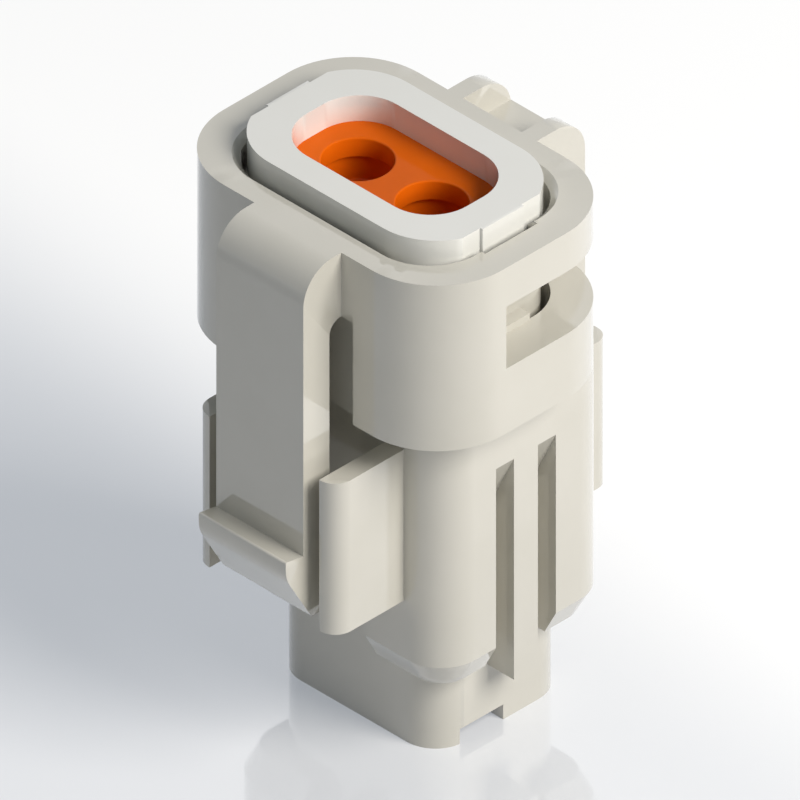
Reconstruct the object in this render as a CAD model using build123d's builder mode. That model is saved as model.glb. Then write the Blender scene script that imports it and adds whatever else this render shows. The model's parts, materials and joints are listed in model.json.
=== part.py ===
from build123d import *
from math import cos, radians, sin
import os

# A two-way sealed connector for joining wires: the plug half, with no wires in it.
# It stands on its mating nose, as it is photographed, with the wire end on top.
# Lengths are in millimetres. Z runs along the contacts, from the nose to the wire end.
# X runs from contact to contact. The latch is on the -Y side, the clip pocket on +Y.
# The origin is midway between the contacts, level with the open end of the nose.

# Wires and their seal
contact_pitch = 5.54
wire_hole_radius = 1.94
hole_groove_depth = 0.3
seal_lip_height = 1.29
seal_groove_height = 1.6
seal_lip_count = 3
seal_end_web = 1.44
seal_side_web = 1.66
seal_rim_groove = 0.25
seal_corner = 1.35
seal_fit = 0.05

# Tower: the upright chamber that holds the wire seal
tower_wall = 0.87
tower_corner = 2.27
tower_rebate = 0.35
tower_rebate_height = 1.65
cover_seat_gap = 0.05

# Collar: the outer wall round the tower
tower_gap = 0.6
mouth_corner = 3.1
mouth_lead_in = 0.42
collar_end_wall = 2.39
collar_side_wall = 1.82
collar_corner = 4.85
collar_height = 10.67
collar_floor = 1.5
keyway_half_width = 1.95
keyway_depth = 0.27

# Seal cover: the keyed cap over the wire seal
cover_plate = 1.65
cover_stand = 1.05
cover_end_gap = 0.1
cover_side_gap = 0.27
cover_bow = 0.37
cover_corner = 3.98
opening_length = 11.92
opening_depth = 6.67
opening_corner = 2.7
key_half_width = 1.53
key_depth = 0.18
skirt_gap = 0.05
snap_bead_radius = 0.15
snap_bead_length = 6.0
snap_bead_drop = 0.8
snap_clearance = 0.05

# Side windows in the collar
window_sill = 4.16
window_height = 4.0
window_front = 2.08
window_back_end = 5.0
stop_rise = 0.45
stop_set_out = 0.11

# Block: the body below the collar
nose_height = 5.27
block_height = 17.31
block_end_step = 1.98
block_front_step = 1.55
block_back_step = 1.39
block_corner = 2.49
block_bevel_in = 0.84
block_bevel_height = 1.58

# Nose: the part that enters the mating half
nose_wall = 0.9
nose_corner = 2.14
pocket_end_room = 2.43
pocket_front = 2.18
pocket_back = 5.87
pocket_depth = 4.5
notch_front = 1.26
notch_back = 1.95
notch_height = 0.97

# Guide slots in the ends of the block, with a rib between each pair
slot_front = -0.57
slot_width = 1.34
slot_rib_width = 1.78
slot_floor_inset = 0.1
slot_drop = 4.2
slot_slope = 2.13
rib_overrun = 1.14

# Latch arm and its lip
latch_half_width = 3.24
latch_gap = 0.89
latch_thickness = 1.94
latch_top_round = 2.18
latch_bridge_height = 4.1
latch_root_round = 0.85
latch_side_gap = 0.84
latch_recess = 0.68
latch_channel_half_width = 2.41
lip_shelf_drop = 7.5
lip_shelf_rise = 0.24
lip_reach = 1.31
lip_front_height = 0.5
lip_edge_round = 0.12
lip_round = 2.2
lip_ramp_angle = 30.0
lip_tip_round = 0.3
lip_height = 4.32
lip_under_rise = 1.1

# Guard wings beside the latch and beside the clip pocket
wing_thickness = 1.2
wing_front = 9.73
wing_back = 10.72
wing_drop = 2.31
wing_height = 9.73
wing_round = 1.15
back_wing_height = 9.45
back_wing_round = 0.9

# Clip pocket on the back of the collar
clip_half_width = 2.18
clip_cheek = 1.14
clip_reach = 3.58
clip_top_round = 2.2
clip_web_drop = 1.85
clip_web = 1.2
clip_front_wall = 1.14

# Contact cavities, from the wire end to the nose
wire_bore_radius = 2.05
barrel_bore_radius = 1.75
hood_bore_radius = 1.5
wire_bore_step = 0.5
stop_shoulder_rise = 3.0

# Locking lances in the block, with the pocket that they bend into
lance_half_width = 0.8
lance_slit = 0.35
lance_thickness = 0.8
lance_flange_gap = 0.15
lance_length = 3.6
lance_tooth = 0.5
lance_tooth_land = 0.6
lance_tooth_height = 1.9
lance_relief_over = 0.9

# Terminal lock: the insert in the nose that blocks the lances
lock_recess = 1.1
lock_floor = 0.9
lock_gap = 0.05
lock_top_gap = 0.1
pin_hole_radius = 1.0
pin_hole_lead_in = 0.35
lock_cup_radius = 1.6
lock_tongue_gap = 0.1
lock_tongue_thickness = 0.7
lock_tongue_half_width = 0.75
lock_tongue_reach = 1.4
lock_pull_half_width = 2.0
lock_pull_front = 3.9
lock_pull_depth = 1.1
lock_bead_radius = 0.2
lock_bead_length = 2.0
lock_bead_z = 3.2

# Socket contacts and their spring hoods
hood_end_gap = 0.15
socket_bore_radius = 0.9
socket_bore_depth = 5.0
tine_radius = 1.2
tine_slot = 0.3
tine_length = 3.2
hood_seat_radius = 1.27
hood_thickness = 0.18
hood_lip = 0.12
hood_lip_length = 0.25
hood_tip_gap = 0.1
contact_flange_radius = 1.65
contact_flange_height = 1.35
contact_neck_radius = 1.1
contact_neck_length = 3.65
barrel_radius = 1.55
barrel_wall = 0.4
barrel_height = 8.5
barrel_solid = 0.7
sight_hole_radius = 0.4
sight_hole_rise = 1.6

# How far a cutting shape runs past the surface that it cuts
cut_over = 1.0

# Sizes that follow from the ones above
collar_bottom = nose_height + block_height
collar_top = collar_bottom + collar_height
cover_top = collar_top + cover_stand
seal_top = cover_top - cover_plate
seal_height = seal_lip_count * seal_lip_height + (seal_lip_count - 1) * seal_groove_height
chamber_floor = seal_top - seal_height
groove_radius = wire_hole_radius + hole_groove_depth
seal_length = contact_pitch + 2 * (groove_radius + seal_end_web)
seal_depth = 2 * (groove_radius + seal_side_web)
chamber_length = seal_length + 2 * seal_fit
chamber_depth = seal_depth + 2 * seal_fit
chamber_corner = seal_corner + seal_fit
tower_length = chamber_length + 2 * tower_wall
tower_depth = chamber_depth + 2 * tower_wall
tower_top = seal_top - cover_seat_gap
rebate_bottom = tower_top - tower_rebate_height
mouth_length = tower_length + 2 * tower_gap
mouth_depth = tower_depth + 2 * tower_gap
collar_length = mouth_length + 2 * collar_end_wall
collar_depth = mouth_depth + 2 * collar_side_wall
gap_floor = collar_bottom + collar_floor
keyway_end = mouth_length / 2 + keyway_depth
window_bottom = collar_bottom + window_sill
window_top = window_bottom + window_height
stop_top = window_bottom + stop_rise

pocket_length = contact_pitch + 2 * pocket_end_room
nose_length = pocket_length + 2 * nose_wall
nose_front = -pocket_front - nose_wall
nose_back = pocket_back + nose_wall
block_length = nose_length + 2 * block_end_step
block_front = nose_front - block_front_step
block_back = nose_back + block_back_step
bevel_top = nose_height + block_bevel_height
slot_top = collar_bottom - slot_drop
rib_bottom = nose_height - rib_overrun
wing_bottom = collar_bottom - wing_drop - wing_height

latch_back_y = -collar_depth / 2 - latch_gap
latch_front_y = latch_back_y - latch_thickness
latch_root_z = collar_top - latch_bridge_height
lip_shelf_z = collar_bottom - lip_shelf_drop
lip_tip_z = lip_shelf_z - lip_height
guard_inner_x = latch_half_width + latch_side_gap
slot_floor_x = nose_length / 2 + slot_floor_inset

relief_front = barrel_bore_radius + lance_thickness
stop_shoulder_z = pocket_depth + stop_shoulder_rise
flange_top = stop_shoulder_z + contact_flange_height
lance_tip_z = flange_top + lance_flange_gap
lance_root_z = lance_tip_z + lance_length
lance_relief_top = lance_root_z + lance_relief_over
wire_bore_bottom = lance_relief_top + wire_bore_step
lock_tongue_top = lance_tip_z + lock_tongue_reach
barrel_bottom = flange_top + contact_neck_length
barrel_top = barrel_bottom + barrel_height
hood_bottom = lock_recess + lock_floor + hood_end_gap
contact_tip_z = hood_bottom + hood_lip_length + hood_tip_gap
tine_top = contact_tip_z + tine_length
socket_floor = contact_tip_z + socket_bore_depth
hood_radius = hood_seat_radius + hood_thickness
contact_sides = (-contact_pitch / 2, contact_pitch / 2)
contact_names = ("left", "right")


def offset_rectangle(length, front, back, corner):
    """A rounded rectangle, centred on X, that runs from front to back in Y."""
    with Locations((0, (front + back) / 2)):
        RectangleRounded(length, back - front, corner)


def span_rectangle(x_low, x_high, y_low, y_high, mode=Mode.ADD):
    """A plain rectangle given by its lowest and highest X and Y."""
    with Locations(((x_low + x_high) / 2, (y_low + y_high) / 2)):
        Rectangle(x_high - x_low, y_high - y_low, mode=mode)


def side_span(side, x_near, x_far, y_low, y_high, mode=Mode.ADD):
    """A rectangle on one side of the middle: X runs outwards from x_near to x_far."""
    x_edges = sorted((side * x_near, side * x_far))
    span_rectangle(x_edges[0], x_edges[1], y_low, y_high, mode)


def cover_outline():
    """The cover's bowed outline, cut square at its ends, with a key on each end."""
    end_x = mouth_length / 2 - cover_end_gap
    half_depth = mouth_depth / 2 - cover_side_gap
    RectangleRounded(2 * (end_x + cover_bow), 2 * half_depth, cover_corner)
    Rectangle(2 * end_x, 2 * half_depth, mode=Mode.INTERSECT)
    Rectangle(2 * (end_x + key_depth), 2 * key_half_width)


# Corners of the latch arm, seen along X: its lip ends in a round and a ramp
latch_root_y = -mouth_depth / 2 - mouth_lead_in
latch_top_y = latch_front_y + latch_top_round
lip_y = latch_front_y - lip_reach
lip_ramp = radians(lip_ramp_angle)
ramp_y = lip_y + lip_round * (1 - cos(lip_ramp))
lip_curve_z = lip_shelf_z + lip_shelf_rise - lip_front_height
ramp_z = lip_curve_z - lip_round * sin(lip_ramp)
lip_tip_y = ramp_y + (ramp_z - lip_tip_z) * sin(lip_ramp) / cos(lip_ramp)
lip_back_z = lip_tip_z + lip_under_rise
arm_back_top = latch_root_z - latch_root_round

# Corners of the clip pocket's cheeks, seen along X
clip_wall_y = mouth_depth / 2 + mouth_lead_in
clip_outer_y = collar_depth / 2 + clip_reach
clip_round_z = collar_top - clip_top_round

with BuildPart() as housing:
    # Collar
    with BuildSketch(Plane.XY.offset(collar_bottom)):
        RectangleRounded(collar_length, collar_depth, collar_corner)
    extrude(amount=collar_height)

    # Block, with a bevel that leads it into the mating half
    with BuildSketch(Plane.XY.offset(bevel_top)):
        offset_rectangle(block_length, block_front, block_back, block_corner)
    extrude(amount=collar_bottom - bevel_top)
    with BuildSketch(Plane.XY.offset(nose_height)):
        offset_rectangle(
            block_length - 2 * block_bevel_in,
            block_front + block_bevel_in,
            block_back - block_bevel_in,
            block_corner - block_bevel_in,
        )
    with BuildSketch(Plane.XY.offset(bevel_top)):
        offset_rectangle(block_length, block_front, block_back, block_corner)
    loft()

    # Nose
    with BuildSketch(Plane.XY):
        offset_rectangle(nose_length, nose_front, nose_back, nose_corner)
    extrude(amount=nose_height)

    # Channel in the front of the block, behind the latch arm
    with BuildSketch(Plane.XY.offset(nose_height)):
        span_rectangle(
            -latch_channel_half_width, latch_channel_half_width,
            block_front - cut_over, nose_front,
        )
    extrude(amount=collar_bottom - nose_height, mode=Mode.SUBTRACT)

    # Guard wings, rounded on their outer corners: a taller pair in front
    wing_outer_x = guard_inner_x + wing_thickness
    with BuildSketch(Plane.XY.offset(wing_bottom)) as front_wings:
        side_span(1, guard_inner_x, wing_outer_x, -wing_front, 0)
        fillet(front_wings.vertices().group_by(Axis.X)[-1].sort_by(Axis.Y)[0], wing_round)
        mirror(about=Plane.YZ)
    extrude(amount=wing_height)
    with BuildSketch(Plane.XY.offset(wing_bottom)) as back_wings:
        side_span(1, guard_inner_x, wing_outer_x, 0, wing_back)
        fillet(back_wings.vertices().group_by(Axis.X)[-1].sort_by(Axis.Y)[-1], back_wing_round)
        mirror(about=Plane.YZ)
    extrude(amount=back_wing_height)

    # Recess in the collar behind the latch arm
    with BuildSketch(Plane.XY.offset(collar_bottom)):
        span_rectangle(
            -guard_inner_x, guard_inner_x,
            -collar_depth / 2 - cut_over, -collar_depth / 2 + latch_recess,
        )
    extrude(amount=latch_root_z - collar_bottom, mode=Mode.SUBTRACT)

    # Latch arm
    with BuildSketch(Plane.YZ) as arm_side:
        with BuildLine():
            Line((latch_root_y, collar_top), (latch_top_y, collar_top))
            JernArc((latch_top_y, collar_top), (-1, 0), latch_top_round, 90)
            Line((latch_front_y, collar_top - latch_top_round), (latch_front_y, lip_shelf_z))
            Line((latch_front_y, lip_shelf_z), (lip_y, lip_shelf_z + lip_shelf_rise))
            Line((lip_y, lip_shelf_z + lip_shelf_rise), (lip_y, lip_curve_z))
            JernArc((lip_y, lip_curve_z), (0, -1), lip_round, lip_ramp_angle)
            Line((ramp_y, ramp_z), (lip_tip_y, lip_tip_z))
            Line((lip_tip_y, lip_tip_z), (latch_back_y, lip_back_z))
            Line((latch_back_y, lip_back_z), (latch_back_y, arm_back_top))
            JernArc((latch_back_y, arm_back_top), (0, 1), latch_root_round, -90)
            Line((latch_back_y + latch_root_round, latch_root_z), (latch_root_y, latch_root_z))
            Line((latch_root_y, latch_root_z), (latch_root_y, collar_top))
        make_face()
        fillet(arm_side.vertices().group_by(Axis.X)[0].sort_by(Axis.Y)[-1], lip_edge_round)
        fillet(arm_side.vertices().group_by(Axis.Y)[0], lip_tip_round)
    extrude(amount=latch_half_width, both=True)

    # Clip pocket: two cheeks, a web between their tops and a front wall
    with BuildSketch(Plane.YZ):
        with BuildLine():
            Polyline(
                (clip_outer_y - clip_top_round, collar_top), (clip_wall_y, collar_top),
                (clip_wall_y, collar_bottom), (clip_outer_y, collar_bottom),
                (clip_outer_y, clip_round_z),
            )
            JernArc((clip_outer_y, clip_round_z), (0, 1), clip_top_round, 90)
        make_face()
    extrude(amount=clip_half_width + clip_cheek, both=True)
    with BuildSketch(Plane.XY.offset(collar_top - clip_web_drop)):
        span_rectangle(
            -clip_half_width, clip_half_width,
            collar_depth / 2, collar_depth / 2 + clip_reach + cut_over,
        )
    extrude(amount=clip_web_drop + cut_over, mode=Mode.SUBTRACT)
    with BuildSketch(Plane.XY.offset(collar_bottom)):
        span_rectangle(
            -clip_half_width, clip_half_width,
            collar_depth / 2, collar_depth / 2 + clip_reach - clip_front_wall,
        )
    extrude(amount=collar_height - clip_web_drop - clip_web, mode=Mode.SUBTRACT)

    # Guide slots: a pair in each end of the block, open below, with a slanted top
    slot_backs = (slot_front, slot_front + slot_width + slot_rib_width)
    for side in (-1, 1):
        slot_run = block_length / 2 - slot_floor_x
        for slot_y in slot_backs:
            with BuildSketch(Plane.XZ.offset(-slot_y)):
                with BuildLine():
                    Polyline(
                        (side * slot_floor_x, nose_height - cut_over),
                        (side * (slot_floor_x + slot_run + cut_over), nose_height - cut_over),
                        (side * (slot_floor_x + slot_run + cut_over), slot_top + cut_over * slot_slope),
                        (side * slot_floor_x, slot_top - slot_run * slot_slope),
                        close=True,
                    )
                make_face()
            extrude(amount=-slot_width, mode=Mode.SUBTRACT)
        # Rib between the slots, which runs down past the bevel
        with BuildSketch(Plane.XY.offset(rib_bottom)):
            side_span(
                side, nose_length / 2 - nose_wall / 2, block_length / 2,
                slot_front + slot_width, slot_front + slot_width + slot_rib_width,
            )
        extrude(amount=bevel_top - rib_bottom)

    # Mouth of the collar down to the tower's top, and the gap round the tower
    with BuildSketch(Plane.XY.offset(stop_top)):
        RectangleRounded(mouth_length, mouth_depth, mouth_corner)
        Rectangle(2 * keyway_end, 2 * keyway_half_width)
        RectangleRounded(tower_length, tower_depth, tower_corner, mode=Mode.SUBTRACT)
    extrude(amount=collar_top - stop_top, mode=Mode.SUBTRACT)
    with BuildSketch(Plane.XY.offset(gap_floor)):
        RectangleRounded(mouth_length, mouth_depth, mouth_corner)
        RectangleRounded(tower_length, tower_depth, tower_corner, mode=Mode.SUBTRACT)
        Rectangle(mouth_length, 2 * keyway_half_width, mode=Mode.SUBTRACT)
    extrude(amount=stop_top - gap_floor, mode=Mode.SUBTRACT)
    with BuildSketch(Plane.XY.offset(tower_top)):
        RectangleRounded(mouth_length, mouth_depth, mouth_corner)
    extrude(amount=collar_top - tower_top, mode=Mode.SUBTRACT)

    # Lead-in round the mouth
    with BuildSketch(Plane.XY.offset(collar_top - mouth_lead_in)):
        RectangleRounded(mouth_length, mouth_depth, mouth_corner)
    with BuildSketch(Plane.XY.offset(collar_top)):
        RectangleRounded(
            mouth_length + 2 * mouth_lead_in,
            mouth_depth + 2 * mouth_lead_in,
            mouth_corner + mouth_lead_in,
        )
    loft(mode=Mode.SUBTRACT)
    with BuildSketch(Plane.XY.offset(collar_top - mouth_lead_in)):
        Rectangle(2 * keyway_end, 2 * keyway_half_width)
    with BuildSketch(Plane.XY.offset(collar_top)):
        Rectangle(2 * (keyway_end + mouth_lead_in), 2 * keyway_half_width)
    loft(mode=Mode.SUBTRACT)

    # Tower top: a rebate for the cover's skirt, with a snap bead on each long side
    with BuildSketch(Plane.XY.offset(rebate_bottom)):
        RectangleRounded(tower_length, tower_depth, tower_corner)
        RectangleRounded(
            tower_length - 2 * tower_rebate,
            tower_depth - 2 * tower_rebate,
            tower_corner - tower_rebate,
            mode=Mode.SUBTRACT,
        )
    extrude(amount=tower_rebate_height, mode=Mode.SUBTRACT)
    for side in (-1, 1):
        with BuildSketch(Plane.YZ):
            with Locations((side * (tower_depth / 2 - tower_rebate), tower_top - snap_bead_drop)):
                Circle(snap_bead_radius)
        extrude(amount=snap_bead_length / 2, both=True)

    # Seal chamber
    with BuildSketch(Plane.XY.offset(chamber_floor)):
        RectangleRounded(chamber_length, chamber_depth, chamber_corner)
    extrude(amount=collar_top - chamber_floor, mode=Mode.SUBTRACT)

    # Windows: each opens one end of the collar and runs round the corner to the back
    for side in (-1, 1):
        with BuildSketch(Plane.XY.offset(window_bottom)):
            side_span(
                side, window_back_end, collar_length / 2 + cut_over,
                -window_front, collar_depth / 2 + cut_over,
            )
            RectangleRounded(mouth_length, mouth_depth, mouth_corner, mode=Mode.SUBTRACT)
            Rectangle(mouth_length + 2 * stop_set_out, 2 * keyway_half_width, mode=Mode.SUBTRACT)
        extrude(amount=window_height, mode=Mode.SUBTRACT)
        with BuildSketch(Plane.XY.offset(stop_top)):
            side_span(
                side, mouth_length / 2, collar_length / 2 + cut_over,
                -keyway_half_width, keyway_half_width,
            )
        extrude(amount=window_top - stop_top, mode=Mode.SUBTRACT)

    # Pocket in the nose, and the pocket behind the lances
    with BuildSketch(Plane.XY):
        offset_rectangle(pocket_length, -pocket_front, pocket_back, nose_corner - nose_wall)
    extrude(amount=pocket_depth, mode=Mode.SUBTRACT)
    with BuildSketch(Plane.XY.offset(pocket_depth)):
        offset_rectangle(pocket_length, relief_front, pocket_back, lance_thickness)
    extrude(amount=lance_relief_top - pocket_depth, mode=Mode.SUBTRACT)

    # Contact cavities, and the lances cut free beside them
    for contact_x in contact_sides:
        cavity_steps = (
            (pocket_depth, stop_shoulder_z, hood_bore_radius),
            (stop_shoulder_z, wire_bore_bottom, barrel_bore_radius),
            (wire_bore_bottom, chamber_floor, wire_bore_radius),
        )
        for low, high, radius in cavity_steps:
            with BuildSketch(Plane.XY.offset(low)):
                with Locations((contact_x, 0)):
                    Circle(radius)
            extrude(amount=high - low, mode=Mode.SUBTRACT)
        slit_outer = lance_half_width + lance_slit
        with BuildSketch(Plane.XY.offset(pocket_depth)):
            span_rectangle(contact_x - slit_outer, contact_x + slit_outer, 0, relief_front)
            span_rectangle(
                contact_x - lance_half_width, contact_x + lance_half_width,
                0, relief_front, Mode.SUBTRACT,
            )
        extrude(amount=lance_root_z - pocket_depth, mode=Mode.SUBTRACT)
        with BuildSketch(Plane.XY.offset(pocket_depth)):
            span_rectangle(contact_x - slit_outer, contact_x + slit_outer, 0, relief_front)
        extrude(amount=lance_tip_z - pocket_depth, mode=Mode.SUBTRACT)
        # Tooth on each lance: square below, where it catches the contact's flange
        tooth_y = barrel_bore_radius - lance_tooth
        with BuildSketch(Plane.YZ.offset(contact_x - lance_half_width)):
            with BuildLine():
                Polyline(
                    (relief_front, lance_tip_z),
                    (tooth_y, lance_tip_z),
                    (tooth_y, lance_tip_z + lance_tooth_land),
                    (barrel_bore_radius, lance_tip_z + lance_tooth_height),
                    (relief_front, lance_tip_z + lance_tooth_height),
                    close=True,
                )
            make_face()
        extrude(amount=2 * lance_half_width)

    # Notches in the nose's open edge, and the grooves that hold the lock
    for side in (-1, 1):
        with BuildSketch(Plane.XY):
            side_span(
                side, pocket_length / 2 - nose_wall, nose_length / 2 + cut_over,
                -notch_front, notch_back,
            )
        extrude(amount=notch_height, mode=Mode.SUBTRACT)
        with BuildSketch(Plane.XZ.offset(-lock_bead_length / 2)):
            with Locations((side * pocket_length / 2, lock_bead_z)):
                Circle(lock_bead_radius + lock_gap)
        extrude(amount=lock_bead_length, mode=Mode.SUBTRACT)

housing.part.label = "housing"


with BuildPart() as wire_seal:
    # Lips and grooves in turn, round both wire holes and round the rim
    for lip in range(seal_lip_count):
        lip_bottom = chamber_floor + lip * (seal_lip_height + seal_groove_height)
        with BuildSketch(Plane.XY.offset(lip_bottom)):
            RectangleRounded(seal_length, seal_depth, seal_corner)
            with GridLocations(contact_pitch, 0, 2, 1):
                Circle(wire_hole_radius, mode=Mode.SUBTRACT)
        extrude(amount=seal_lip_height)
    for groove in range(seal_lip_count - 1):
        groove_bottom = chamber_floor + seal_lip_height + groove * (seal_lip_height + seal_groove_height)
        with BuildSketch(Plane.XY.offset(groove_bottom)):
            RectangleRounded(
                seal_length - 2 * seal_rim_groove,
                seal_depth - 2 * seal_rim_groove,
                seal_corner - seal_rim_groove,
            )
            with GridLocations(contact_pitch, 0, 2, 1):
                Circle(groove_radius, mode=Mode.SUBTRACT)
        extrude(amount=seal_groove_height)
wire_seal.part.label = "wire_seal"


with BuildPart() as seal_cover:
    # Plate and skirt in one outline, hollowed below to go over the tower
    skirt_bottom = rebate_bottom + skirt_gap
    with BuildSketch(Plane.XY.offset(skirt_bottom)):
        cover_outline()
    extrude(amount=cover_top - skirt_bottom)
    with BuildSketch(Plane.XY.offset(skirt_bottom)):
        RectangleRounded(
            tower_length - 2 * tower_rebate + 2 * skirt_gap,
            tower_depth - 2 * tower_rebate + 2 * skirt_gap,
            tower_corner - tower_rebate + skirt_gap,
        )
    extrude(amount=seal_top - skirt_bottom, mode=Mode.SUBTRACT)
    with BuildSketch(Plane.XY.offset(seal_top)):
        RectangleRounded(opening_length, opening_depth, opening_corner)
    extrude(amount=cover_plate, mode=Mode.SUBTRACT)
    # Grooves for the tower's snap beads
    for side in (-1, 1):
        with BuildSketch(Plane.YZ):
            with Locations((side * (tower_depth / 2 - tower_rebate), tower_top - snap_bead_drop)):
                Circle(snap_bead_radius + snap_clearance)
        extrude(amount=snap_bead_length / 2 + snap_clearance, both=True, mode=Mode.SUBTRACT)
seal_cover.part.label = "seal_cover"


with BuildPart() as terminal_lock:
    # Plate that fills the nose's pocket
    lock_top = pocket_depth - lock_top_gap
    with BuildSketch(Plane.XY.offset(lock_recess)):
        offset_rectangle(
            pocket_length - 2 * lock_gap,
            -pocket_front + lock_gap,
            pocket_back - lock_gap,
            nose_corner - nose_wall - lock_gap,
        )
    extrude(amount=lock_top - lock_recess)
    # Cups for the contacts, and the holes through which the pins enter
    with BuildSketch(Plane.XY.offset(lock_recess + lock_floor)):
        with GridLocations(contact_pitch, 0, 2, 1):
            Circle(lock_cup_radius)
    extrude(amount=lock_top - lock_recess - lock_floor, mode=Mode.SUBTRACT)
    with BuildSketch(Plane.XY.offset(lock_recess)):
        with GridLocations(contact_pitch, 0, 2, 1):
            Circle(pin_hole_radius)
    extrude(amount=lock_floor, mode=Mode.SUBTRACT)
    round_edges = terminal_lock.edges().filter_by(lambda edge: edge.is_closed)
    chamfer(round_edges.group_by(Axis.Z)[0], pin_hole_lead_in)
    # Slot by which the lock is pulled out
    with BuildSketch(Plane.XY.offset(lock_recess)):
        span_rectangle(
            -lock_pull_half_width, lock_pull_half_width,
            lock_pull_front, lock_pull_front + lock_pull_depth,
        )
    extrude(amount=lock_top - lock_recess, mode=Mode.SUBTRACT)
    # Tongues that stand behind the lances and keep them from bending
    tongue_front = relief_front + lock_tongue_gap
    for contact_x in contact_sides:
        with BuildSketch(Plane.XY.offset(lock_top)):
            span_rectangle(
                contact_x - lock_tongue_half_width, contact_x + lock_tongue_half_width,
                tongue_front, tongue_front + lock_tongue_thickness,
            )
        extrude(amount=lock_tongue_top - lock_top)
    # Beads that snap into the nose's grooves
    for side in (-1, 1):
        with BuildSketch(Plane.XZ.offset(-(lock_bead_length / 2 - lock_gap))):
            with Locations((side * (pocket_length / 2 - lock_gap), lock_bead_z)):
                Circle(lock_bead_radius)
        extrude(amount=lock_bead_length - 2 * lock_gap)
terminal_lock.part.label = "terminal_lock"

finished = [housing, wire_seal, seal_cover, terminal_lock]

for contact_name, contact_x in zip(contact_names, contact_sides):
    contact_plane = Plane(origin=(contact_x, 0, 0), x_dir=(1, 0, 0), z_dir=(0, -1, 0))
    contact_axis = Axis((contact_x, 0, 0), (0, 0, 1))

    with BuildPart() as contact:
        # Turned body: tines, hood seat, flange, neck and crimp barrel
        with BuildSketch(contact_plane):
            with BuildLine():
                Polyline(
                    (socket_bore_radius, contact_tip_z),
                    (tine_radius, contact_tip_z),
                    (tine_radius, tine_top),
                    (hood_seat_radius, tine_top),
                    (hood_seat_radius, stop_shoulder_z),
                    (contact_flange_radius, stop_shoulder_z),
                    (contact_flange_radius, flange_top),
                    (contact_neck_radius, flange_top),
                    (contact_neck_radius, barrel_bottom),
                    (barrel_radius, barrel_bottom),
                    (barrel_radius, barrel_top),
                    (barrel_radius - barrel_wall, barrel_top),
                    (barrel_radius - barrel_wall, barrel_bottom + barrel_solid),
                    (0, barrel_bottom + barrel_solid),
                    (0, socket_floor),
                    (socket_bore_radius, socket_floor),
                    close=True,
                )
            make_face()
        revolve(axis=contact_axis)
        # Two crossed slots make the four tines
        with BuildSketch(Plane.XY.offset(contact_tip_z)):
            with Locations((contact_x, 0)):
                Rectangle(2 * barrel_radius, tine_slot)
                Rectangle(tine_slot, 2 * barrel_radius)
        extrude(amount=tine_length, mode=Mode.SUBTRACT)
        # Sight hole that shows the wire at the bottom of the barrel
        with BuildSketch(Plane.XZ):
            with Locations((contact_x, barrel_bottom + sight_hole_rise)):
                Circle(sight_hole_radius)
        extrude(amount=barrel_radius + cut_over, mode=Mode.SUBTRACT)
    contact.part.label = "contact_" + contact_name
    finished.append(contact)

    with BuildPart() as hood:
        # Thin sleeve over the tines, with a lip turned in at its tip
        with BuildSketch(contact_plane):
            with BuildLine():
                Polyline(
                    (hood_seat_radius - hood_lip, hood_bottom),
                    (hood_radius, hood_bottom),
                    (hood_radius, stop_shoulder_z),
                    (hood_seat_radius, stop_shoulder_z),
                    (hood_seat_radius, hood_bottom + hood_lip_length),
                    (hood_seat_radius - hood_lip, hood_bottom + hood_lip_length),
                    close=True,
                )
            make_face()
        revolve(axis=contact_axis)
    hood.part.label = "hood_" + contact_name
    finished.append(hood)

os.makedirs("parts", exist_ok=True)
for piece in finished:
    export_step(piece.part, "parts/" + piece.part.label + ".step")
    print(piece.part.label, "volume", round(piece.part.volume, 2))
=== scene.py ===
# %% [markdown]
# # A sealed two-way connector
# The object is one half of a plug and socket that joins two pairs of wires in a damp place.
# Its pale body is injection moulded, an orange silicone seal grips the wires, and a white cap
# keeps the seal in. The CAD model already holds every hard piece at its true size, so this
# script gives each piece its surface, remakes the one soft piece, and lights the whole as in a
# catalogue picture.

import json
import math

import bmesh
import bpy
import numpy as np
from mathutils import Matrix, Vector


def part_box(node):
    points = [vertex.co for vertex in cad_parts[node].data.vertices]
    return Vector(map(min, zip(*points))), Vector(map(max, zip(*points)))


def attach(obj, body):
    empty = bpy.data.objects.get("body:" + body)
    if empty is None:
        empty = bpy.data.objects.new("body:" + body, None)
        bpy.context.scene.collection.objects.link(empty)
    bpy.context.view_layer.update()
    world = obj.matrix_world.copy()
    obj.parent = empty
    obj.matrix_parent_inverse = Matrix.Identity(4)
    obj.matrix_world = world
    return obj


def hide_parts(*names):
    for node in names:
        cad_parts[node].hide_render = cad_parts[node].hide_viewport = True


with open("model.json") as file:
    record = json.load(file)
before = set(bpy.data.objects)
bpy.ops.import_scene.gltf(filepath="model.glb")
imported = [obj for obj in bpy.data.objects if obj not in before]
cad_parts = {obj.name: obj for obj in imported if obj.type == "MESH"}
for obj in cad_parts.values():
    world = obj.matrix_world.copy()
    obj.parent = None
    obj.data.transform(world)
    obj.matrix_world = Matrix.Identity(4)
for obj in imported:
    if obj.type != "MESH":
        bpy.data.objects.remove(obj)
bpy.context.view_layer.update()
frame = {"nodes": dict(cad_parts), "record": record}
print("CAD nodes:", ", ".join(sorted(frame["nodes"])))

# %% [markdown]
# ## The camera
# The picture is isometric: the camera looks down the diagonal of a cube, and nothing gets
# smaller with distance. A camera with a very long lens could imitate that, but Blender's
# orthographic camera does it exactly. Its three directions are written out, and its place
# follows from where the object's origin lies in the picture.

# %% Isometric camera
MM = 0.001
IMAGE_WIDTH = 800
PIXELS_PER_MM = 19.0
ORIGIN_COLUMN = 395.1
ORIGIN_ROW = 687.2
CAMERA_DISTANCE = 300 * MM

scene = bpy.context.scene
right = Vector((1, 1, 0)).normalized()
back = Vector((1, -1, 1)).normalized()
up = back.cross(right)

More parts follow.
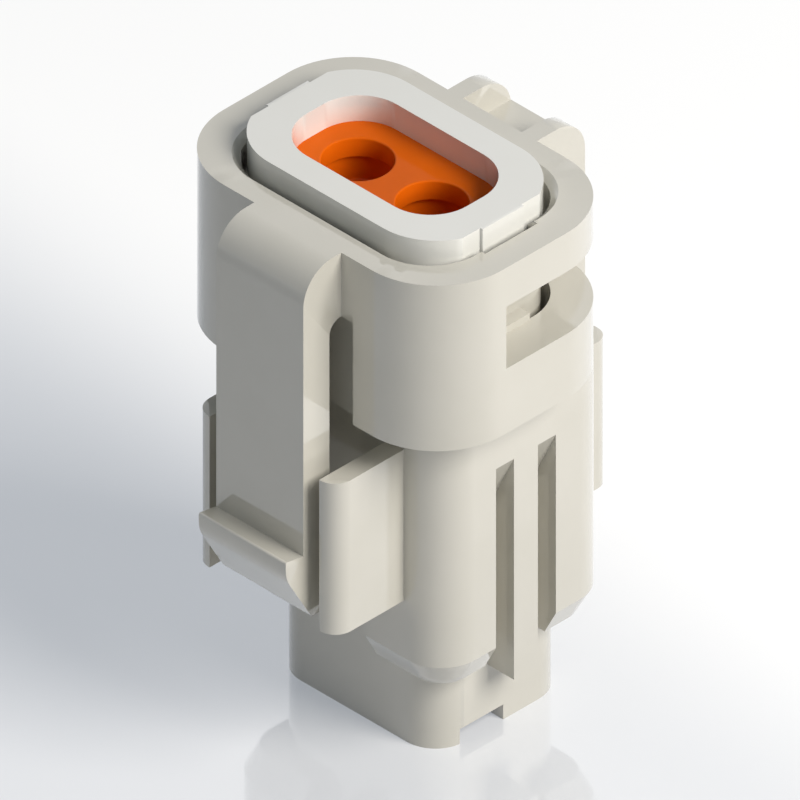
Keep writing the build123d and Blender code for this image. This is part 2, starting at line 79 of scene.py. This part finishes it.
pixel = MM / PIXELS_PER_MM
aim = right * (IMAGE_WIDTH / 2 - ORIGIN_COLUMN) * pixel
aim += up * (ORIGIN_ROW - IMAGE_WIDTH / 2) * pixel
turn = Matrix((right, up, back)).transposed().to_4x4()

camera_data = bpy.data.cameras.new("camera")
camera_data.type = "ORTHO"
camera_data.ortho_scale = IMAGE_WIDTH * pixel
camera = bpy.data.objects.new("camera", camera_data)
camera.matrix_world = Matrix.Translation(aim + back * CAMERA_DISTANCE) @ turn
scene.collection.objects.link(camera)
scene.camera = camera
print("The picture is", round(camera_data.ortho_scale / MM, 1), "mm wide")

# %% [markdown]
# ## Helpers for materials
# Every finish below is a small tree of shader nodes. Short functions keep the trees readable:
# one turns a hex colour, as a paint chart gives it, into the linear numbers that light is
# counted in, one starts a material, and one adds any node with its settings and links. The
# last two make a soft noise and a cloudy colour, because no real finish is perfectly even.

# %% Material helpers
NOISE_LOW, NOISE_HIGH = 0.3, 0.7  # nearly all of a Noise Texture's values lie between these


def linear(hex_colour):
    """Turns an sRGB hex colour into linear red, green, blue and alpha."""
    values = [int(hex_colour[place:place + 2], 16) / 255 for place in (0, 2, 4)]
    light = [v / 12.92 if v <= 0.04045 else ((v + 0.055) / 1.055) ** 2.4 for v in values]
    return light + [1.0]


def grey(level):
    """A neutral colour, given as its linear level."""
    return (level, level, level, 1.0)


def add_node(tree, kind, settings=None, links=None):
    """Adds one shader node, sets its properties or sockets, and links its inputs.

    A text key names a property, or else a socket; a number counts a socket's place.
    """
    node = tree.nodes.new(kind)
    for key, value in (settings or {}).items():
        if isinstance(key, str) and hasattr(node, key):
            setattr(node, key, value)
        else:
            node.inputs[key].default_value = value
    for key, source in (links or {}).items():
        tree.links.new(source, node.inputs[key])
    return node


def new_material(name):
    """Starts a material and returns it with its emptied node tree."""
    material = bpy.data.materials.new(name)
    material.use_nodes = True
    material.node_tree.nodes.clear()
    return material, material.node_tree


def per_metre(millimetres):
    """The noise scale whose spots are about this many millimetres wide."""
    return 1 / (millimetres * MM)


def noise_between(tree, place, spot_mm, low, high, detail=2.0):
    """A soft noise on Object coordinates, stretched to run from low to high."""
    noise = add_node(
        tree, "ShaderNodeTexNoise", {"Scale": per_metre(spot_mm), "Detail": detail},
        {"Vector": place},
    )
    stretched = add_node(
        tree, "ShaderNodeMapRange",
        {"From Min": NOISE_LOW, "From Max": NOISE_HIGH, "To Min": low, "To Max": high},
        {"Value": noise.outputs["Fac"]},
    )
    return stretched.outputs["Result"]


def cloudy_colour(tree, place, spot_mm, colour, cloud_colour, detail=2.0):
    """Two near colours, mixed by a soft noise."""
    clouds = noise_between(tree, place, spot_mm, 0.0, 1.0, detail)
    tint = add_node(
        tree, "ShaderNodeMix",
        {"data_type": "RGBA", 6: linear(colour), 7: linear(cloud_colour)}, {0: clouds},
    )
    return tint.outputs[2]


# %% [markdown]
# ## Moulded plastic
# The body is PBT, a stiff polyester shot into a polished steel mould. The melt freezes against
# the steel as a thin skin with more resin in it than the core has, and that skin mirrors its
# neighbours hardly blurred. So the finish is a coloured base of low roughness under a thin
# clear coat. What keeps it from looking like paint is small: the melt leaves faint cloudy flow
# marks a few millimetres wide, and the skin is never quite flat. The cap and the inner lock
# are the same plastic without the warm pigment.

# %% Plastic finishes
CLOUD_MM = 5.0
CLOUD_DETAIL = 3.0
GLOSS_SPOT_MM = 1.2
GLOSS_LOW, GLOSS_HIGH = 0.05, 0.10
SKIN_WAVE_MM = 2.5
SKIN_HEIGHT_MM = 0.0015
RESIN_COAT = {"Coat Weight": 1.0, "Coat Roughness": 0.04, "Coat IOR": 1.5}


def moulded_plastic(name, colour, cloud_colour, ior):
    """Cloudy flow marks mix two near colours; finer noise varies the gloss and the skin."""
    material, tree = new_material(name)
    place = add_node(tree, "ShaderNodeTexCoord").outputs["Object"]
    tint = cloudy_colour(tree, place, CLOUD_MM, colour, cloud_colour, CLOUD_DETAIL)
    gloss = noise_between(tree, place, GLOSS_SPOT_MM, GLOSS_LOW, GLOSS_HIGH)
    waves = add_node(
        tree, "ShaderNodeTexNoise", {"Scale": per_metre(SKIN_WAVE_MM), "Detail": 1.0},
        {"Vector": place},
    )
    skin = add_node(
        tree, "ShaderNodeBump", {"Strength": 1.0, "Distance": SKIN_HEIGHT_MM * MM},
        {"Height": waves.outputs["Fac"]},
    )
    shader = add_node(
        tree, "ShaderNodeBsdfPrincipled", {"IOR": ior, **RESIN_COAT},
        {"Base Color": tint, "Roughness": gloss, "Normal": skin.outputs["Normal"]},
    )
    add_node(tree, "ShaderNodeOutputMaterial", None, {"Surface": shader.outputs[0]})
    return material


housing_plastic = moulded_plastic("moulded_PBT_warm_grey", "CECBC1", "CAC7BC", ior=1.65)
cover_plastic = moulded_plastic("moulded_PBT_white", "E8E8E4", "E5E5E0", ior=1.6)
print("Plastics:", housing_plastic.name, "and", cover_plastic.name)

# %% [markdown]
# ## Silicone
# Liquid silicone rubber cures against the mould and keeps a smooth, slightly oily skin, which
# helps the wires slide in. Its index of refraction is low and the rubber is soft, so it shines
# less than the plastic. The orange pigment is strong and even, with the faintest cloud where it
# was stirred.

# %% Silicone finish
STIR_MM = 2.0
OIL_SPOT_MM = 0.8
OIL_LOW, OIL_HIGH = 0.08, 0.14
SILICONE_SHINE = {"IOR": 1.41, "Specular IOR Level": 0.1}


def moulded_silicone(name, colour, cloud_colour):
    """A saturated colour with faint clouds, and an oily skin whose gloss varies a little."""
    material, tree = new_material(name)
    place = add_node(tree, "ShaderNodeTexCoord").outputs["Object"]
    tint = cloudy_colour(tree, place, STIR_MM, colour, cloud_colour)
    gloss = noise_between(tree, place, OIL_SPOT_MM, OIL_LOW, OIL_HIGH)
    shader = add_node(
        tree, "ShaderNodeBsdfPrincipled", SILICONE_SHINE,
        {"Base Color": tint, "Roughness": gloss},
    )
    add_node(tree, "ShaderNodeOutputMaterial", None, {"Surface": shader.outputs[0]})
    return material


seal_silicone = moulded_silicone("moulded_silicone_orange", "DE640B", "D75F08")
print("Silicone:", seal_silicone.name)

# %% [markdown]
# ## Metals
# The socket contacts are turned from brass rod, and thin steel hoods press their tines
# together. They sit deep in the body, and only the ends of their barrels show down the wire
# holes, with the tines at the nose. A turning tool leaves rings round the rod a few hundredths
# of a millimetre apart, too fine for this picture, so they are drawn at a fifth of a
# millimetre. Rolled and drawn steel has no rings, only a soft mottle.

# %% Metal finishes
WAVE_RADIANS = 20  # how far a Wave Texture's wave turns in one unit at scale 1
MOTTLE_MM = 0.6
RING_MM = 0.2
RING_DEPTH_MM = 0.01
RING_STRENGTH = 0.4


def bright_metal(name, colour, turned, low_roughness, high_roughness):
    """Metal whose colour tints its reflections; mottle varies its gloss, turning cuts rings."""
    material, tree = new_material(name)
    place = add_node(tree, "ShaderNodeTexCoord").outputs["Object"]
    links = {"Roughness": noise_between(tree, place, MOTTLE_MM, low_roughness, high_roughness)}
    if turned:
        rings = add_node(
            tree, "ShaderNodeTexWave",
            {"wave_type": "BANDS", "bands_direction": "Z",
             "Scale": per_metre(RING_MM) * 2 * math.pi / WAVE_RADIANS},
            {"Vector": place},
        )
        cut = add_node(
            tree, "ShaderNodeBump",
            {"Strength": RING_STRENGTH, "Distance": RING_DEPTH_MM * MM},
            {"Height": rings.outputs["Fac"]},
        )
        links["Normal"] = cut.outputs["Normal"]
    settings = {"Metallic": 1.0, "Base Color": linear(colour)}
    shader = add_node(tree, "ShaderNodeBsdfPrincipled", settings, links)
    add_node(tree, "ShaderNodeOutputMaterial", None, {"Surface": shader.outputs[0]})
    return material


contact_brass = bright_metal("turned_brass", "D8B46A", True, 0.18, 0.30)
hood_steel = bright_metal("drawn_stainless_steel", "C2C1BD", False, 0.22, 0.34)
print("Metals:", contact_brass.name, "and", hood_steel.name)

# %% [markdown]
# ## Finishing the CAD pieces
# Each hard piece keeps its CAD shape. A moulding never has a knife-sharp edge, though: the
# steel it was cut from is rounded by a few hundredths of a millimetre, and that thin round
# catches the light along every edge. Rounding by hand would be endless, so three modifiers do
# it: Weld joins the CAD triangles, Bevel rounds whatever edge turns sharply, and Weighted
# Normal keeps the large faces looking flat. The flat facets of a curved CAD wall meet at ten
# degrees or less, and the gentlest real edges, those of the bevels and ramps, at twenty or
# more, so a limit of fifteen tells them apart.

# %% Finishes and rounded edges
EDGE_ROUND_MM = {"housing": 0.09, "seal_cover": 0.07, "terminal_lock": 0.05}
EDGE_SEGMENTS = 2
SHARP_EDGE_DEGREES = 15
WELD_MM = 0.001
FLAT_WEIGHT = 90

finishes = {
    "housing_plastic": housing_plastic,
    "cover_plastic": cover_plastic,
    "seal_silicone": seal_silicone,
    "contact_brass": contact_brass,
    "hood_steel": hood_steel,
}
slots = {row["node"]: row["material_slot"] for row in frame["record"]["subparts"]}

for node, piece in frame["nodes"].items():
    piece.data.materials.clear()
    piece.data.materials.append(finishes[slots[node]])
    if node in EDGE_ROUND_MM:
        weld = piece.modifiers.new("weld", "WELD")
        weld.merge_threshold = WELD_MM * MM
        bevel = piece.modifiers.new("edge_round", "BEVEL")
        bevel.width = EDGE_ROUND_MM[node] * MM
        bevel.segments = EDGE_SEGMENTS
        bevel.limit_method = "ANGLE"
        bevel.angle_limit = math.radians(SHARP_EDGE_DEGREES)
        bevel.face_strength_mode = "FSTR_ALL"
        flat = piece.modifiers.new("flat_faces", "WEIGHTED_NORMAL")
        flat.mode = "FACE_AREA_WITH_ANGLE"
        flat.weight = FLAT_WEIGHT
        flat.use_face_influence = True
print("Finished", len(frame["nodes"]), "CAD pieces")

# %% [markdown]
# ## The wire seal
# The seal is a block of silicone with two wire holes. Three lips stand out round its rim and
# inside each hole, with two grooves between them, and it is the lips that press on the wires
# and on the body. Cloth simulation has no place here, because the seal is solid and springy
# and holds its moulded shape. Each half of it is worked out as a surface round its hole: at
# every angle one distance reaches the hole's wall and another reaches the rim, and both
# change with height. The other half is its mirror image.

# %% Sizes of the wire seal
seal_low, seal_high = (np.array(corner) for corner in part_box("wire_seal"))
SEAL_LENGTH, SEAL_DEPTH, _ = seal_high - seal_low
HOLE_PITCH = 5.54 * MM
HOLE_RADIUS = 1.94 * MM
HOLE_GROOVE = 0.30 * MM
RIM_GROOVE = 0.25 * MM
RIM_CORNER = 1.35 * MM
LIP_HEIGHT = 1.29 * MM
GROOVE_HEIGHT = 1.60 * MM
LIP_COUNT = 3
LIP_SOFTNESS = 0.24 * MM
END_ROUND = 0.10 * MM
END_STEPS = 5
LIP_STEPS = 9
TINY = 1e-9
print("Seal length and depth, mm:", np.round([SEAL_LENGTH / MM, SEAL_DEPTH / MM], 2))


# %% Heights and the shape of the lips
def lip_levels():
    """Heights from the bottom to the top, close together wherever the wall bends.

    Round the end edges they follow a cosine; over each lip's edge they are evenly spaced.
    """
    quarter = np.linspace(0, np.pi / 2, END_STEPS)
    low_round = seal_low[2] + END_ROUND * (1 - np.cos(quarter))
    high_round = seal_high[2] - END_ROUND * (1 - np.cos(quarter))
    pitch = LIP_HEIGHT + GROOVE_HEIGHT
    lip_bottoms = seal_low[2] + pitch * np.arange(1, LIP_COUNT)
    lip_tops = seal_low[2] + LIP_HEIGHT + pitch * np.arange(LIP_COUNT - 1)
    edges = np.concatenate([lip_bottoms, lip_tops])
    steps = edges[:, None] + LIP_SOFTNESS * np.linspace(-0.5, 0.5, LIP_STEPS)[None, :]
    return np.unique(np.concatenate([low_round, steps.ravel(), high_round]))


def wall_setback(height, groove):
    """How far a wall stands back at each height, with rounded end edges.

    Between lips it is the groove's depth, reached by a smooth step over the lip's edge; at
    the two ends a quarter circle is added.
    """
    pitch = LIP_HEIGHT + GROOVE_HEIGHT
    bottoms = seal_low[2] + pitch * np.arange(LIP_COUNT)
    tops = bottoms + LIP_HEIGHT
    bottoms[0] -= LIP_SOFTNESS
    tops[-1] += LIP_SOFTNESS
    inside = np.minimum(height[:, None] - bottoms[None, :], tops[None, :] - height[:, None])
    share = np.clip(inside.max(axis=1) / LIP_SOFTNESS + 0.5, 0, 1)
    lip = share * share * (3 - 2 * share)
    from_end = np.minimum(height - seal_low[2], seal_high[2] - height)
    into_round = np.clip(END_ROUND - from_end, 0, END_ROUND)
    end_round = END_ROUND - np.sqrt(END_ROUND ** 2 - into_round ** 2)
    return groove * (1 - lip) + end_round


levels = lip_levels()
print("The seal's wall has", len(levels), "levels")


# %% Distances round one hole
def rim_turn(setback):
    """The angle, seen from the hole, of the corner where the rim meets the middle line."""
    return np.arctan2(SEAL_DEPTH / 2 - setback, -HOLE_PITCH / 2)


def rim_reach(angle, setback):
    """The distance from the hole's centre to the edge of its half, along each angle.

    It is the nearest of the middle line, the end and the side; near the end's corners the
    ray is cut by the corner's circle instead.
    """
    cosine, sine = np.cos(angle), np.sin(angle)
    end = SEAL_LENGTH / 2 - HOLE_PITCH / 2 - setback
    side = SEAL_DEPTH / 2 - setback
    along = np.where(cosine > 0, end, HOLE_PITCH / 2) / np.maximum(np.abs(cosine), TINY)
    reach = np.minimum(along, side / np.maximum(np.abs(sine), TINY))
    radius = RIM_CORNER - setback
    corner_x, corner_y = end - radius, side - radius
    forward = cosine * corner_x + np.abs(sine) * corner_y
    sideways = corner_x ** 2 + corner_y ** 2 - forward ** 2
    rounded = forward + np.sqrt(np.maximum(radius ** 2 - sideways, 0))
    in_corner = (reach * cosine > corner_x) & (np.abs(reach * sine) > corner_y)
    return np.where(in_corner, rounded, reach)


# %% Grids of points and faces
def grid_faces(rows, columns, first):
    """Four-sided faces between neighbouring points of a grid, numbered from the first."""
    index = first + np.arange(rows * columns).reshape(rows, columns)
    corners = (index[:-1, :-1], index[:-1, 1:], index[1:, 1:], index[1:, :-1])
    return np.stack(corners, axis=-1).reshape(-1, 4)


def join_grids(grids):
    """Puts grids of points, each rows by columns by three, into one list with its faces."""
    points, faces, first = [], [], 0
    for grid in grids:
        rows, columns = grid.shape[:2]
        points.append(grid.reshape(-1, 3))
        faces.append(grid_faces(rows, columns, first))
        first += rows * columns
    return np.concatenate(points), np.concatenate(faces)


def polar_grid(angle, distance, height):
    """Points at an angle and a distance round the right-hand hole, at a height."""
    angle, distance, height = np.broadcast_arrays(angle, distance, height)
    x = HOLE_PITCH / 2 + distance * np.cos(angle)
    return np.stack([x, distance * np.sin(angle), height], axis=-1)


# %% One half of the seal
RIM_STEPS = 121
MIDDLE_STEPS = 33
FACE_SHARES = np.array([0.0, 0.04, 0.35, 0.65, 0.96, 1.0])  # of the way from hole to rim

outer_share = np.linspace(-1, 1, RIM_STEPS)
corner_turn = rim_turn(END_ROUND)
middle_angles = np.linspace(corner_turn, 2 * np.pi - corner_turn, MIDDLE_STEPS)[1:]
loop_angles = np.concatenate([outer_share * corner_turn, middle_angles])

hole_radius = HOLE_RADIUS + wall_setback(levels, HOLE_GROOVE)
rim_setback = wall_setback(levels, RIM_GROOVE)
hole_wall = polar_grid(loop_angles[None, :], hole_radius[:, None], levels[:, None])
rim_angles = outer_share[None, :] * rim_turn(rim_setback)[:, None]
rim_distance = rim_reach(rim_angles, rim_setback[:, None])
rim_wall = polar_grid(rim_angles, rim_distance, levels[:, None])

face_inner = HOLE_RADIUS + END_ROUND
face_outer = rim_reach(loop_angles, END_ROUND)
middle_line = HOLE_PITCH / 2 / np.maximum(-np.cos(loop_angles), TINY)
on_middle = np.arange(len(loop_angles)) >= RIM_STEPS - 1
face_outer = np.where(on_middle, middle_line, face_outer)
face_reach = face_inner + (face_outer - face_inner)[None, :] * FACE_SHARES[:, None]
bottom_face = polar_grid(loop_angles[None, :], face_reach, seal_low[2])
top_face = polar_grid(loop_angles[None, :], face_reach, seal_high[2])

half_points, half_faces = join_grids([hole_wall, rim_wall, bottom_face, top_face])
print("Half of the seal has", len(half_faces), "faces")

# %% [markdown]
# ## From points to a piece
# Both halves go into one mesh. Points that fall together, along the middle line and wherever
# two grids meet, are merged, and only then are the faces turned outwards, because Blender can
# tell inside from outside only on a closed skin.

# %% Build the seal's mesh
MERGE_MM = 0.0005

seal_points = np.concatenate([half_points, half_points * (-1, 1, 1)])
seal_faces = np.concatenate([half_faces, half_faces[:, ::-1] + len(half_points)])

seal_mesh = bpy.data.meshes.new("ribbed_wire_seal")
seal_mesh.from_pydata(seal_points.tolist(), [], seal_faces.tolist())
shell = bmesh.new()
shell.from_mesh(seal_mesh)
bmesh.ops.remove_doubles(shell, verts=shell.verts, dist=MERGE_MM * MM)
bmesh.ops.recalc_face_normals(shell, faces=shell.faces)
open_edges = sum(not edge.is_manifold for edge in shell.edges)
shell.to_mesh(seal_mesh)
shell.free()
seal_mesh.shade_smooth()
seal_mesh.materials.append(seal_silicone)

ribbed_seal = bpy.data.objects.new("ribbed_wire_seal", seal_mesh)
scene.collection.objects.link(ribbed_seal)
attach(ribbed_seal, "root")
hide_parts("wire_seal")
print("Seal faces:", len(seal_mesh.polygons), "open edges:", open_edges)

# %% [markdown]
# ## The floor
# The connector stands on a glossy white table. The camera, mirrors and glass see the floor
# brightly, as they would a lit table, while the light that the floor throws up onto the
# object stays modest. So the material asks Light Path which kind of ray has met it. It is
# still lit by the lamp in both cases, and therefore keeps the object's soft shadow. Its
# lacquer mirrors the object's foot, for which the index is high and the roughness low.
# The floor's emission is painted light: in front of the object it is a dim, cool and greyish
# painted shade, and behind the object it grows into a brighter, neutral painted light, so it
# runs between two colours that way.

# %% Glossy white floor
FLOOR_REACH = 2.0
BOUNCE_GREY, SEEN_GREY = grey(0.55), grey(0.6)
LACQUER = {"Roughness": 0.05, "IOR": 2.4}
# Painted shade: a dim, cool emission in front of the object; painted light: a brighter, neutral
# emission behind it.
NEAR_PAINTED_SHADE_GLOW = (0.215, 0.232, 0.262, 1)
FAR_PAINTED_LIGHT_GLOW = grey(0.45)
GLOW_START, GLOW_END = 4 * MM, 24 * MM

floor_mesh = bpy.data.meshes.new("floor")
corners = [(-FLOOR_REACH, -FLOOR_REACH, 0), (FLOOR_REACH, -FLOOR_REACH, 0),
           (FLOOR_REACH, FLOOR_REACH, 0), (-FLOOR_REACH, FLOOR_REACH, 0)]
floor_mesh.from_pydata(corners, [], [(0, 1, 2, 3)])
floor = bpy.data.objects.new("floor", floor_mesh)
scene.collection.objects.link(floor)


def seen_directly(tree):
    """One for a camera, glossy or transmission ray, and nought for any other ray."""
    path = add_node(tree, "ShaderNodeLightPath").outputs
    first = add_node(
        tree, "ShaderNodeMath", {"operation": "MAXIMUM"},
        {0: path["Is Camera Ray"], 1: path["Is Glossy Ray"]},
    )
    return add_node(
        tree, "ShaderNodeMath", {"operation": "MAXIMUM"},
        {0: first.outputs[0], 1: path["Is Transmission Ray"]},
    ).outputs[0]


floor_material, tree = new_material("glossy_white_table")
seen = seen_directly(tree)
shade = add_node(
    tree, "ShaderNodeMix", {"data_type": "RGBA", 6: BOUNCE_GREY, 7: SEEN_GREY}, {0: seen},
)
table = add_node(
    tree, "ShaderNodeBsdfPrincipled", LACQUER, {"Base Color": shade.outputs[2]},
)
place = add_node(tree, "ShaderNodeTexCoord").outputs["Object"]
across = add_node(tree, "ShaderNodeSeparateXYZ", None, {0: place}).outputs["Y"]
far_painted_light_share = add_node(
    tree, "ShaderNodeMapRange",
    {"interpolation_type": "SMOOTHSTEP", "From Min": GLOW_START, "From Max": GLOW_END},
    {"Value": across},
)
painted_floor_glow = add_node(
    tree, "ShaderNodeMix", {"data_type": "RGBA", 6: NEAR_PAINTED_SHADE_GLOW, 7: FAR_PAINTED_LIGHT_GLOW},
    {0: far_painted_light_share.outputs["Result"]},
)
emission = add_node(
    tree, "ShaderNodeEmission", None, {"Color": painted_floor_glow.outputs[2], "Strength": seen},
)
both = add_node(
    tree, "ShaderNodeAddShader", None, {0: table.outputs[0], 1: emission.outputs[0]},
)
add_node(tree, "ShaderNodeOutputMaterial", None, {"Surface": both.outputs[0]})
floor_mesh.materials.append(floor_material)
print("The floor is", 2 * FLOOR_REACH, "m wide")

# %% [markdown]
# ## The light
# In the picture the faces towards the right are the brightest, the front ones are grey, and
# the tops lie between. One broad lamp gives just that order: it stands on the right, a little
# towards the back, and low enough that a wall gets more of its light than a top does. It is
# warm, as a studio lamp is. Mirror rays pass it by, because its image would draw a bright
# streak down every rounded corner. The room fills the shadows with a weak, slightly blue light
# from all round.

# %% Room light
ROOM_LIGHT = 0.175
ROOM_COLOUR = (0.78, 0.9, 1.0, 1)

world = bpy.data.worlds.new("studio")
scene.world = world
world.use_nodes = True
tree = world.node_tree
tree.nodes.clear()
room = add_node(
    tree, "ShaderNodeBackground", {"Color": ROOM_COLOUR, "Strength": ROOM_LIGHT},
)
white = add_node(tree, "ShaderNodeBackground", {"Color": grey(1.0), "Strength": 1.0})
choice = add_node(
    tree, "ShaderNodeMixShader", None,
    {0: seen_directly(tree), 1: room.outputs[0], 2: white.outputs[0]},
)
add_node(tree, "ShaderNodeOutputWorld", None, {"Surface": choice.outputs[0]})
print("Room light:", ROOM_LIGHT, "of full white")

# %% Key lamp
KEY_TURN_DEGREES = 12
KEY_RISE_DEGREES = 39
KEY_DISTANCE = 380 * MM
KEY_SIZE = 200 * MM
KEY_POWER = 1.68
KEY_COLOUR = (1.0, 0.96, 0.91)
OBJECT_MIDDLE = Vector((0, 0, 17 * MM))

key_turn = math.radians(KEY_TURN_DEGREES)
key_rise = math.radians(KEY_RISE_DEGREES)
level_part = math.cos(key_rise)
away = Vector((
    math.cos(key_turn) * level_part, math.sin(key_turn) * level_part, math.sin(key_rise),
))
key_light = bpy.data.lights.new("key", "AREA")
key_light.shape = "SQUARE"
key_light.size = KEY_SIZE
key_light.energy = KEY_POWER
key_light.color = KEY_COLOUR
key = bpy.data.objects.new("key", key_light)
key.location = OBJECT_MIDDLE + away * KEY_DISTANCE
key.rotation_euler = away.to_track_quat("Z", "Y").to_euler()
key.visible_glossy = False
scene.collection.objects.link(key)
scene.view_settings.view_transform = "Standard"
print("Key lamp:", KEY_POWER, "W")
